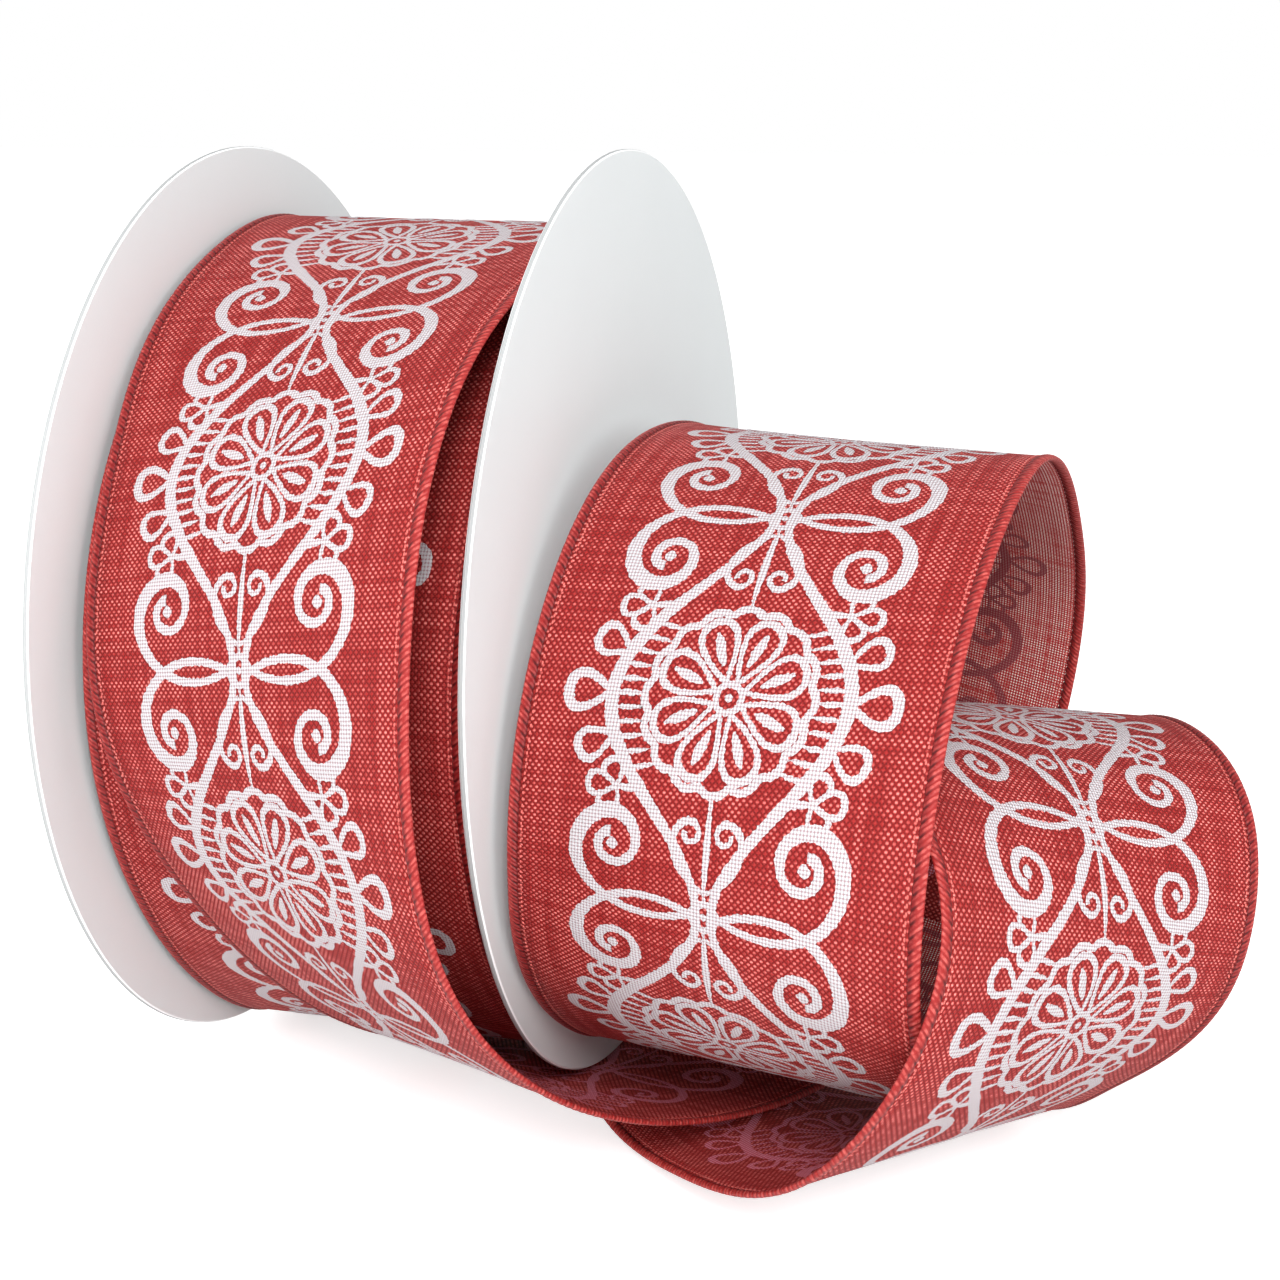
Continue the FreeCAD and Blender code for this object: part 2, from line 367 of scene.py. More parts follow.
@dataclass(frozen=True)
class LinenWeave:
    """Plain-woven linen-like cloth; its threads follow the ribbon.

    A slub is a thicker stretch of thread, its width in warp pitches.  With pinhole light the
    inner face is painted a flat shade, and its corners, where the thread is thin, are painted
    light as if light shone through from behind; the number is how much painted light.
    """

    name: str = "linen_weave"
    painted_pinhole_light: float = 0.0
    warp_pitch: float = 0.50 * MM
    weft_pitch: float = 0.52 * MM
    # painted shade for the corners between threads
    hollow: Colour = (0.09, 0.002, 0.003)
    warp: Colour = (0.24, 0.006, 0.006)
    thread: Colour = (0.46, 0.026, 0.024)
    # painted highlight for the crowns of the weft's floats
    crown: Colour = (0.94, 0.280, 0.250)
    # painted shade for the inner face, and painted light for its corners as if backlit
    shaded: Colour = (0.42, 0.030, 0.030)
    light: Colour = (1.0, 0.90, 0.84)
    corner_step: Step = (0.20, 1.00)
    dash_length_step: Step = (0.0, 0.62)
    dash_rise_step: Step = (0.0, 0.06)
    body_step: Step = (0.0, 0.55)
    weft_step: Step = (-0.7, 0.1)
    slub_step: Step = (0.38, 0.62)
    tone_step: Step = (0.36, 0.64)
    hole_step: Step = (0.25, 0.60)
    thin_step: Step = (0.72, 0.40)
    hollow_share: float = 0.70
    tone_share: float = 0.82
    shaded_share: float = 0.80
    slub_pitches: float = 2.2
    slub_stretch: float = 0.035
    relief: float = 0.14 * MM
    roughness: float = 0.66
    gloss: float = 0.25
    glow: float = 0.35
    glow_reach: float = 1.2 * MM
    glow_by_colour: Colour = (1.0, 0.35, 0.35)

    def threads(self, wiring: Wiring) -> Threads:
        """Follows the weave: its product is a sine across times a sine along, one thread
        to a half wave, and its thickness is two noises drawn out along the threads.

        Args:
            wiring: the material being built.

        Returns:
            The threads.
        """
        across, along = wiring.surface_place()
        over = [wiring.wave(across, self.warp_pitch), wiring.wave(along, self.weft_pitch)]
        product = wiring.times(*over)
        squares = [wiring.times(wave, wave) for wave in over]
        near = wiring.span(wiring.math("ADD", *squares), *self.corner_step)
        length = wiring.span(wiring.size(over[0]), *self.dash_length_step)
        rise = wiring.span(product, *self.dash_rise_step)
        streaks = []
        for draw_across, draw_along in ((1.0, self.slub_stretch), (self.slub_stretch, 1.0)):
            at = wiring.spread(wiring.times(across, draw_across), wiring.times(along, draw_along))
            streaks.append(wiring.noise(at, self.slub_pitches * self.warp_pitch))
        return Threads(
            product=product,
            thickness=wiring.times(wiring.math("ADD", *streaks), 0.5),
            corner=wiring.math("SUBTRACT", 1.0, near),
            dash=wiring.times(wiring.times(length, squares[1]), rise),
        )

    def material(self) -> Material:
        """The cloth's material: dark warp, brighter weft, a painted highlight on the floats'
        crowns and painted shade in the corners.
        """
        wiring = Wiring(self.name)
        weave = self.threads(wiring)
        body = wiring.span(wiring.size(weave.product), *self.body_step)
        # Where the painted highlight goes: the crowns of the weft's floats.
        crown = wiring.times(weave.dash, wiring.span(weave.thickness, *self.slub_step))
        weft = wiring.span(weave.product, *self.weft_step)
        colour = wiring.mix(weft, self.warp, self.thread)
        # Painted shade: the corners between threads are darkened.
        colour = wiring.mix(wiring.times(weave.corner, self.hollow_share), colour, self.hollow)
        colour = wiring.mix(crown, colour, self.crown)
        tone = wiring.span(weave.thickness, *self.tone_step)
        shade = wiring.mix(tone, (self.tone_share,) * 3, (1.0, 1.0, 1.0))
        colour = wiring.mix(1.0, colour, shade, "MULTIPLY")
        # Inner face: a flat painted shade, then painted light in the weave's thin corners, as if
        # light shone through from behind.
        if self.painted_pinhole_light:
            inner = wiring.math("GREATER_THAN", wiring.surface_place()[0], INNER_FACE / 2)
            hole = wiring.span(weave.corner, *self.hole_step)
            thin = wiring.span(weave.thickness, *self.thin_step)
            painted_hole_light = wiring.times(inner, wiring.times(wiring.times(hole, thin), self.painted_pinhole_light))
            colour = wiring.mix(wiring.times(inner, self.shaded_share), colour, self.shaded)
            colour = wiring.mix(painted_hole_light, colour, self.light)
        return wiring.finish(
            colour, self.roughness, weave.relief(wiring, body), self.relief,
            Subsurface_Weight=self.glow,
            Subsurface_Scale=self.glow_reach,
            Subsurface_Radius=self.glow_by_colour,
            Specular_IOR_Level=self.gloss,
        )


@dataclass(frozen=True)
class WhitePrint:
    """Thick white ink that fills the weave's crowns and thins in its hollows, where it is also
    painted darker as shade between the threads.

    Hold is how high a thread stands before its ink is full, wear how bare the corners
    are, and thin how much of the worn colour shows between the crowns.
    """

    weave: LinenWeave
    name: str
    ink: Colour
    worn: Colour
    hold: float
    wear: float = 0.60
    thin: float = 0.0
    sunk_share: float = 0.80
    patch_swing: float = 0.70
    patch_least: float = 0.55
    relief_share: float = 0.80
    roughness: float = 0.60
    gloss: float = 0.30

    def material(self) -> Material:
        """The ink's material."""
        wiring = Wiring(self.name)
        weave = self.weave.threads(wiring)
        body = wiring.span(wiring.size(weave.product), 0.0, self.hold)
        patch = wiring.math("MULTIPLY_ADD", weave.thickness, self.patch_swing, self.patch_least)
        # Between the crowns: the ink painted darker as shade, mixed with the worn colour where the
        # ink is thin.
        sunk = tuple(
            (1 - self.thin) * self.sunk_share * ink + self.thin * worn
            for ink, worn in zip(self.ink, self.worn)
        )
        colour = wiring.mix(wiring.times(body, patch), sunk, self.ink)
        colour = wiring.mix(wiring.times(weave.corner, self.wear), colour, self.worn)
        depth = self.relief_share * self.weave.relief
        return wiring.finish(
            colour, self.roughness, weave.relief(wiring, body), depth,
            Specular_IOR_Level=self.gloss,
        )


@dataclass(frozen=True)
class SatinStitch:
    """Glossy thread whipped over the rolled edge, and the needle row just inside it.

    The inner, groove and row steps are shares of the hem's width in from the edge.  Painted shade
    darkens the slits, the groove and the needle row's gaps, and a painted highlight lies along the
    strands and on the needle row's dots.
    """

    edge: float
    hem_width: float
    stitch_pitch: float
    lean: float
    seam_pitch: float
    thread_pitch: float = 0.80 * MM
    # painted shade for the slits, the groove and the needle row's gaps
    valley: Colour = (0.07, 0.002, 0.003)
    flat: Colour = (0.20, 0.007, 0.008)
    cord: Colour = (0.31, 0.016, 0.015)
    # painted highlight for the strands and the needle row's dots
    painted_highlight: Colour = (0.70, 0.140, 0.120)
    inner_step: Step = (0.30, 0.70)
    groove_step: Step = (0.80, 0.95)
    row_step: Step = (0.96, 1.02)
    needle_step: Step = (0.35, 0.95)
    strand_step: Step = (0.35, 0.95)
    sheen_step: Step = (0.35, 0.70)
    slit_step: Step = (0.15, 0.60)
    painted_highlight_rim: float = 0.70
    lit_loss: float = 0.50
    slit_rim: float = 0.20
    slit_gain: float = 0.75
    groove_share: float = 0.75
    sheen_grain: float = 0.9 * MM
    relief: float = 0.10 * MM
    roughness: float = 0.52
    gloss: float = 0.30

    def hem_step(self, wiring: Wiring, inward: Socket, step: Step) -> Socket:
        """A smooth step between two shares of the hem's width."""
        return wiring.span(inward, step[0] * self.hem_width, step[1] * self.hem_width)

    def material(self) -> Material:
        """The stitching's material, by the distance in from the ribbon's edge: a lighter
        cord with a painted highlight along its strands, then darker cells parted by painted
        shade in the slits where the stitches' relief dips, a painted shadow line in the groove,
        then the needle row's dots of painted highlight between painted shade."""
        wiring = Wiring("satin_stitch")
        across, along = wiring.surface_place()
        inward = wiring.math("SUBTRACT", self.edge, wiring.size(across))
        leaning = wiring.math("MULTIPLY_ADD", inward, -self.lean, along)
        stitch = wiring.size(wiring.wave(leaning, self.stitch_pitch))
        strand = wiring.size(wiring.wave(leaning, self.thread_pitch))
        needle = wiring.span(wiring.size(wiring.wave(along, self.seam_pitch)), *self.needle_step)
        grain = wiring.noise(wiring.spread(across, along), self.sheen_grain, 3.0)
        sheen = wiring.span(grain, *self.sheen_step)
        inner, groove, row = (
            self.hem_step(wiring, inward, step)
            for step in (self.inner_step, self.groove_step, self.row_step)
        )
        # Painted shade in the slits between the stitches, deeper towards the inside.
        painted_slit_shade = wiring.math("SUBTRACT", 1.0, wiring.span(stitch, *self.slit_step))
        colour = wiring.mix(inner, self.cord, self.flat)
        # Painted highlight along the strands, strongest at the outer cord.
        lit = wiring.times(wiring.span(strand, *self.strand_step), sheen)
        outer = wiring.math("MULTIPLY_ADD", inner, -self.lit_loss, self.painted_highlight_rim)
        colour = wiring.mix(wiring.times(lit, outer), colour, self.painted_highlight)
        depth = wiring.math("MULTIPLY_ADD", inner, self.slit_gain, self.slit_rim)
        colour = wiring.mix(wiring.times(painted_slit_shade, depth), colour, self.valley)
        # Painted shadow line in the groove beside the cord.
        colour = wiring.mix(wiring.times(groove, self.groove_share), colour, self.valley)
        # Needle row: dots of painted highlight between painted shade.
        colour = wiring.mix(row, colour, wiring.mix(needle, self.valley, self.painted_highlight))
        return wiring.finish(
            colour, self.roughness, strand, self.relief, Specular_IOR_Level=self.gloss
        )


@dataclass(frozen=True)
class CoatedBoard:
    """White clay-coated paperboard with a painted highlight along its pressed bevel and a greyer
    cut edge.

    The face is clouded and flecked with shares of its own colour.
    """

    bevel_radius: float
    cut_radius: float
    face: Colour = (0.72, 0.76, 0.765)
    # painted highlight for the pressed bevel
    bevel: Colour = (0.92, 0.94, 0.95)
    cut: Colour = (0.34, 0.355, 0.36)
    core: Colour = (0.46, 0.47, 0.47)
    ply: float = 0.22 * MM
    blur: float = 0.05 * MM
    fibre: float = 0.5 * MM
    cloud: float = 18 * MM
    ply_step: Step = (-0.2, 1.4)
    cloud_step: Step = (0.2, 0.8)
    fibre_step: Step = (0.3, 0.75)
    cloud_share: float = 0.975
    fibre_share: float = 0.985
    relief: float = 0.012 * MM
    roughness: float = 0.48
    gloss: float = 0.35

    def material(self) -> Material:
        """The board's material: plies show where the place is outside the cut radius."""
        wiring = Wiring("coated_board")
        where = wiring.object_place()
        x, y, z = wiring.split(where)
        reach = wiring.math("SQRT", wiring.math("ADD", wiring.times(y, y), wiring.times(z, z)))
        edge = wiring.span(reach, self.cut_radius - self.blur, self.cut_radius)
        pressed = wiring.span(reach, self.bevel_radius - self.blur, self.bevel_radius)
        plies = wiring.wave(x, self.ply / 2)
        fibres = wiring.noise(where, self.fibre, 4.0)
        cloud = wiring.span(wiring.noise(where, self.cloud), *self.cloud_step)
        layers = wiring.span(wiring.math("ADD", plies, fibres), *self.ply_step)
        cut = wiring.mix(layers, self.cut, self.core)
        face = wiring.mix(cloud, self.face, faded(self.face, self.cloud_share))
        speck = faded(self.face, self.fibre_share)
        face = wiring.mix(wiring.span(fibres, *self.fibre_step), speck, face)
        # Painted highlight along the pressed bevel.
        face = wiring.mix(pressed, face, self.bevel)
        colour = wiring.mix(edge, face, cut)
        return wiring.finish(
            colour, self.roughness, fibres, self.relief, Specular_IOR_Level=self.gloss
        )


@dataclass(frozen=True)
class GreyBoard:
    """Unbleached tube board, wound in a slanting strip."""

    strip: float = 55 * MM
    light: Colour = (0.50, 0.42, 0.32)
    dark: Colour = (0.36, 0.29, 0.21)
    seam_step: Step = (0.0, 0.02)
    fibre: float = 0.8 * MM
    relief: float = 0.03 * MM
    roughness: float = 0.85

    def material(self) -> Material:
        """The tube's material: a seam every strip width, slanting round the tube."""
        wiring = Wiring("tube_board")
        where = wiring.object_place()
        x, y, z = wiring.split(where)
        turn = wiring.math("DIVIDE", wiring.math("ARCTAN2", y, z), 2 * math.pi)
        share = wiring.math("FRACT", wiring.math("MULTIPLY_ADD", x, 1 / self.strip, turn))
        seam = wiring.span(wiring.size(wiring.math("SUBTRACT", share, 0.5)), *self.seam_step)
        fibres = wiring.noise(where, self.fibre, 5.0)
        colour = wiring.mix(wiring.times(fibres, seam), self.dark, self.light)
        return wiring.finish(colour, self.roughness, fibres, self.relief)


@dataclass(frozen=True)
class SoftIron:
    """Fine annealed wire, drawn along its length."""

    colour: Colour = (0.52, 0.52, 0.54)
    dark_share: float = 0.7
    grain: float = 0.1 * MM
    stretch: float = 0.02
    relief: float = 0.01 * MM
    roughness: float = 0.38

    def material(self) -> Material:
        """The wire's material."""
        wiring = Wiring("soft_iron")
        across, along = wiring.surface_place()
        draw = wiring.noise(wiring.spread(across, wiring.times(along, self.stretch)), self.grain)
        colour = wiring.mix(draw, faded(self.colour, self.dark_share), self.colour)
        return wiring.finish(colour, self.roughness, draw, self.relief, Metallic=1.0)


# ------------------------------------------------------------------ mesh making


@dataclass
class Shell:
    """Vertices, four-sided faces and each corner's place on the ribbon.

    Faces are shaded smooth, but flat from the count in flat_from on.
    """

    points: Array
    faces: Array
    places: Array
    flat_from: int

    @staticmethod
    def tube(rings: Array, places: Array) -> "Shell":
        """A closed tube from a grid of rings, with a fan of faces at each end.

        The grid's rows are the rings and its columns go round; a face joins each grid
        point to the next one round and the next one along, and the columns wrap.

        Args:
            rings: points, rings by columns by 3.
            places: across and along at each grid point, with one more column to close.

        Returns:
            The closed shell, its faces outwards.
        """
        rows, columns = rings.shape[:2]
        row, column = np.meshgrid(np.arange(rows - 1), np.arange(columns), indexing="ij")
        after = (column + 1) % columns
        corners = [(row, column), (row, after), (row + 1, after), (row + 1, column)]
        faces = np.stack([r * columns + c for r, c in corners], -1).reshape(-1, 4)
        spots = [(row, column), (row, column + 1), (row + 1, column + 1), (row + 1, column)]
        marks = np.stack([places[r, c] for r, c in spots], -2).reshape(-1, 4, 2)
        half = np.arange(columns // 2 - 1)
        lid = np.stack([half, half + 1, columns - 2 - half, columns - 1 - half], -1)
        ends = np.concatenate([lid[:, ::-1], lid + (rows - 1) * columns])
        end_marks = places[:, :-1].reshape(-1, 2)[ends]
        every_face = np.concatenate([faces, ends])
        every_mark = np.concatenate([marks, end_marks])
        return Shell(rings.reshape(-1, 3), every_face, every_mark, len(faces)).outwards()

    def outwards(self) -> "Shell":
        """Turns the faces round if the volume that they shut in comes out negative."""
        a, b, c, d = (self.points[self.faces[:, i]] for i in range(4))
        volume = (np.cross(a, b) * c).sum() + (np.cross(a, c) * d).sum()
        if volume < 0:
            self.faces = self.faces[:, ::-1]
            self.places = self.places[:, ::-1]
        return self

    def piece(self, name: str, material: Material) -> Piece:
        """Makes the object.

        Args:
            name: the piece's name.
            material: its finish.

        Returns:
            The new object, at the origin.
        """
        mesh = bpy.data.meshes.new(name)
        count = len(self.faces)
        mesh.vertices.add(len(self.points))
        mesh.vertices.foreach_set("co", self.points.astype(np.float32).ravel())
        mesh.loops.add(4 * count)
        mesh.loops.foreach_set("vertex_index", self.faces.astype(np.int32).ravel())
        mesh.polygons.add(count)
        mesh.polygons.foreach_set("loop_start", np.arange(0, 4 * count, 4, dtype=np.int32))
        mesh.update(calc_edges=True)
        smooth = np.arange(count) < self.flat_from
        mesh.polygons.foreach_set("use_smooth", smooth)
        layer = mesh.uv_layers.new(name="ribbon")
        layer.data.foreach_set("uv", self.places.astype(np.float32).ravel())
        mesh.materials.append(material)
        mesh.validate()
        return in_scene(name, mesh)


# ----------------------------------------------------------------- the ribbon's line


class Spline:
    """A cubic line through points, smooth to its second slope.

    Its knots are the straight distances between the points added up.  At each end its
    slope is that of the one cubic through the four points there.
    """

    def __init__(self, knots: Array, values: Array) -> None:
        """Solves for the slope at every point.

        Args:
            knots: the distance at each point.
            values: the points.
        """
        self.knots, self.values = knots, values
        step = np.diff(knots)
        rise = np.diff(values, axis=0) / step[:, None]
        size = len(knots)
        matrix = np.zeros((size, size))
        right = np.zeros_like(values)
        inner = np.arange(1, size - 1)
        matrix[inner, inner - 1] = step[1:]
        matrix[inner, inner] = 2 * (step[:-1] + step[1:])
        matrix[inner, inner + 1] = step[:-1]
        right[1:-1] = 3 * (step[1:, None] * rise[:-1] + step[:-1, None] * rise[1:])
        matrix[0, 0] = matrix[-1, -1] = 1
        right[0] = self.end_slope(slice(0, 4), 0)
        right[-1] = self.end_slope(slice(-4, None), -1)
        self.slopes = np.linalg.solve(matrix, right)

    def end_slope(self, four: slice, at: int) -> Array:
        """The slope, at one end, of the cubic through the four points there.

        Args:
            four: which points.
            at: which of the ends.

        Returns:
            The slope.
        """
        apart = self.knots[four] - self.knots[at]
        return np.linalg.solve(np.vander(apart, increasing=True), self.values[four])[1]

    def at(self, distance: Array) -> tuple[Array, Array]:
        """Point and slope at distances along the line.

        Each span is the cubic with the points and slopes of its two ends.

        Args:
            distance: where to read it, of any shape.

        Returns:
            The points and the slopes, with 3 more values to each distance.
        """
        last = len(self.knots) - 2
        span = np.clip(np.searchsorted(self.knots, distance, "right") - 1, 0, last)
        length = (self.knots[span + 1] - self.knots[span])[..., None]
        share = (np.asarray(distance)[..., None] - self.knots[span][..., None]) / length
        start, end = self.values[span], self.values[span + 1]
        leaving, arriving = self.slopes[span] * length, self.slopes[span + 1] * length
        bend = 3 * (end - start) - 2 * leaving - arriving
        twist = 2 * (start - end) + leaving + arriving
        point = start + share * (leaving + share * (bend + share * twist))
        slope = (leaving + share * (2 * bend + share * 3 * twist)) / length
        return point, slope


@dataclass
class SpoolSizes:
    """The spool's sizes, read off the frame."""

    width: float = field(init=False)
    roll_radius: float = field(init=False)
    disc_radius: float = field(init=False)
    disc_face: float = field(init=False)
    core_radius: float = field(init=False)

    def __post_init__(self) -> None:
        """Reads the boxes of the hems, the roll, the disc and the tube."""
        self.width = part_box("wound_hem_right")[1][0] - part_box("wound_hem_left")[0][0]
        self.roll_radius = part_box("wound_cloth")[1][2]
        self.disc_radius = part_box("flange_right")[1][2]
        self.disc_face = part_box("flange_right")[1][0]
        self.core_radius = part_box("core_tube")[1][2]


class Lay:
    """Where the ribbon lies: a surface of the distances along it and across it."""

    def __init__(self, middle: Callable[[Array], tuple[Array, Array, Array]]) -> None:
        """Keeps the line that the surface is hung on.

        Args:
            middle: gives the middle point, the direction across and the outward
                direction at distances along.
        """
        self.middle = middle

    def place(self, along: Array, across: Array, lift: Array) -> Array:
        """Middle point, plus the place across times the direction across, plus the lift
        times the outward direction.

        Args:
            along: distance along the ribbon.
            across: distance from its middle.
            lift: height over its middle layer.

        Returns:
            The points.
        """
        point, side, out = self.middle(along)
        return point + across[..., None] * side + lift[..., None] * out


class LooseLay(Lay):
    """The ribbon that has come off the roll, through its stations."""

    def __init__(self, sizes: SpoolSizes) -> None:
        """Works out the stations and the splines through them.

        Args:
            sizes: the spool's sizes.
        """
        room = sizes.disc_radius - sizes.roll_radius
        inner = np.array(INNER_TURN, float)
        round_spool = np.array(OUTER_TURN + RUN_UNDER_FLANGE, float)
        free = np.array(LARGE_COIL + SMALL_COIL + RIBBON_TAIL, float)
        radial = outward(np.radians(inner[:, 0]))
        flare = np.radians(inner[:, 2])[:, None]
        points = [radial * (sizes.roll_radius + inner[:, 1:2] * room)]
        sides = [np.cos(flare) * AXIS + np.sin(flare) * radial]
        reach = sizes.roll_radius + round_spool[:, 1:2] * room
        shift = round_spool[:, 2:3] * sizes.width * AXIS
        points.append(outward(np.radians(round_spool[:, 0])) * reach + shift)
        corner = np.array([sizes.disc_face, 0.0, -sizes.disc_radius - TABLE_DROP])
        points.append(corner + free[:, :3] * sizes.width)
        sides += [self.across(rows[:, 3], rows[:, 4]) for rows in (round_spool, free)]
        middle, side = np.concatenate(points), np.concatenate(sides)
        apart = np.linalg.norm(np.diff(middle, axis=0), axis=1)
        knots = np.concatenate([[0], np.cumsum(apart)])
        self.middle_line = Spline(knots, middle)
        self.side_line = Spline(knots, side)
        lasts = np.cumsum([len(rows) for rows in STRETCHES]) - 1
        self.joins = [0.0, *knots[lasts].tolist()]
        super().__init__(self.frame_at)

    @staticmethod
    def across(turn: Array, tilt: Array) -> Array:
        """The direction across the ribbon from its turn and tilt in degrees."""
        turn, tilt = np.radians(turn), np.radians(tilt)
        flat = np.cos(tilt)
        return np.stack([np.cos(turn) * flat, -np.sin(turn) * flat, np.sin(tilt)], -1)

    def frame_at(self, along: Array) -> tuple[Array, Array, Array]:
        """Middle point, direction across squared to the line, and their cross product.

        Args:
            along: distances along the ribbon.

        Returns:
            The point, the direction across and the outward direction.
        """
        point, slope = self.middle_line.at(along)
        heading = slope / np.linalg.norm(slope, axis=-1, keepdims=True)
        side = self.side_line.at(along)[0]
        side = side - (side * heading).sum(-1, keepdims=True) * heading
        side = side / np.linalg.norm(side, axis=-1, keepdims=True)
        return point, side, np.cross(heading, side)


class WoundLay(Lay):
    """The ribbon still on the roll: a spiral that grows by one hem to a turn."""

    first_lift = 0.6  # from the tube to the first turn's middle layer, in pitches

    def __init__(self, sizes: SpoolSizes, pitch: float, inset: float) -> None:
        """Fits the spiral between the tube and the roll's outside.

        Args:
            sizes: the spool's sizes.
            pitch: how far it grows in one turn.
            inset: how far its middle layer stays inside the roll's radius.
        """
        self.pitch = pitch
        self.first = sizes.core_radius + self.first_lift * pitch
        self.last = sizes.roll_radius - inset
        self.turns = (self.last - self.first) / pitch
        self.length = 2 * math.pi * self.turns * (self.first + self.last) / 2
        self.end_angle = math.radians(INNER_TURN[0][0])
        super().__init__(self.frame_at)

    def frame_at(self, along: Array) -> tuple[Array, Array, Array]:
        """The radius whose swept length, pitch / 2 pi times half the difference of the
        squares of the radii, is the distance along; the angle follows from the radius.

        Args:
            along: distances along the ribbon, from the tube.

        Returns:
            The point, the direction across and the outward direction.
        """
        radius = np.sqrt(self.first**2 + np.asarray(along) * self.pitch / math.pi)
        angle = self.end_angle - 2 * math.pi * (self.last - radius) / self.pitch
        out = outward(angle)
        return radius[..., None] * out, np.broadcast_to(AXIS, out.shape), out


@dataclass(frozen=True)
class Run:
    """A length of the ribbon: where it lies, and its start and end along the ribbon."""

    lay: Lay
    start: float
    end: float

    def rings(self, step: float, more: int = 0) -> Array:
        """Even places along it.

        Args:
            step: about how far they are apart.
            more: how many are added.

        Returns:
            The places, two at least.
        """
        count = int((self.end - self.start) / step) + more
        return np.linspace(self.start, self.end, max(2, count))


# ---------------------------------------------------------------------- ornament


@dataclass
class Stroke:
    """One printed line: its points across a flat repeat, and its width at each."""

    along: Array
    across: Array
    width: Array
    fewest: ClassVar[int] = 4

    @staticmethod
    def in_millimetres(along: Array, across: Array, width: Array) -> "Stroke":
        """A stroke whose points and width are given in millimetres."""
        return Stroke(along * MM, across * MM, width * MM)

    def mirrored(self, flip_along: int, flip_across: int) -> "Stroke":
        """The same stroke turned over about the repeat's middle lines."""
        return Stroke(flip_along * self.along, flip_across * self.across, self.width)

    def even(self, step: float) -> "Stroke":
        """The same stroke with its points a step apart.

        Args:
            step: the distance between points.

        Returns:
            The stroke, read at even distances along its own line.
        """
        apart = np.hypot(np.diff(self.along), np.diff(self.across))
        run = np.concatenate([[0], np.cumsum(apart)])
        at = np.linspace(0, run[-1], max(self.fewest, int(run[-1] / step) + 1))
        rows = (self.along, self.across, self.width)
        return Stroke(*(np.interp(at, run, values) for values in rows))


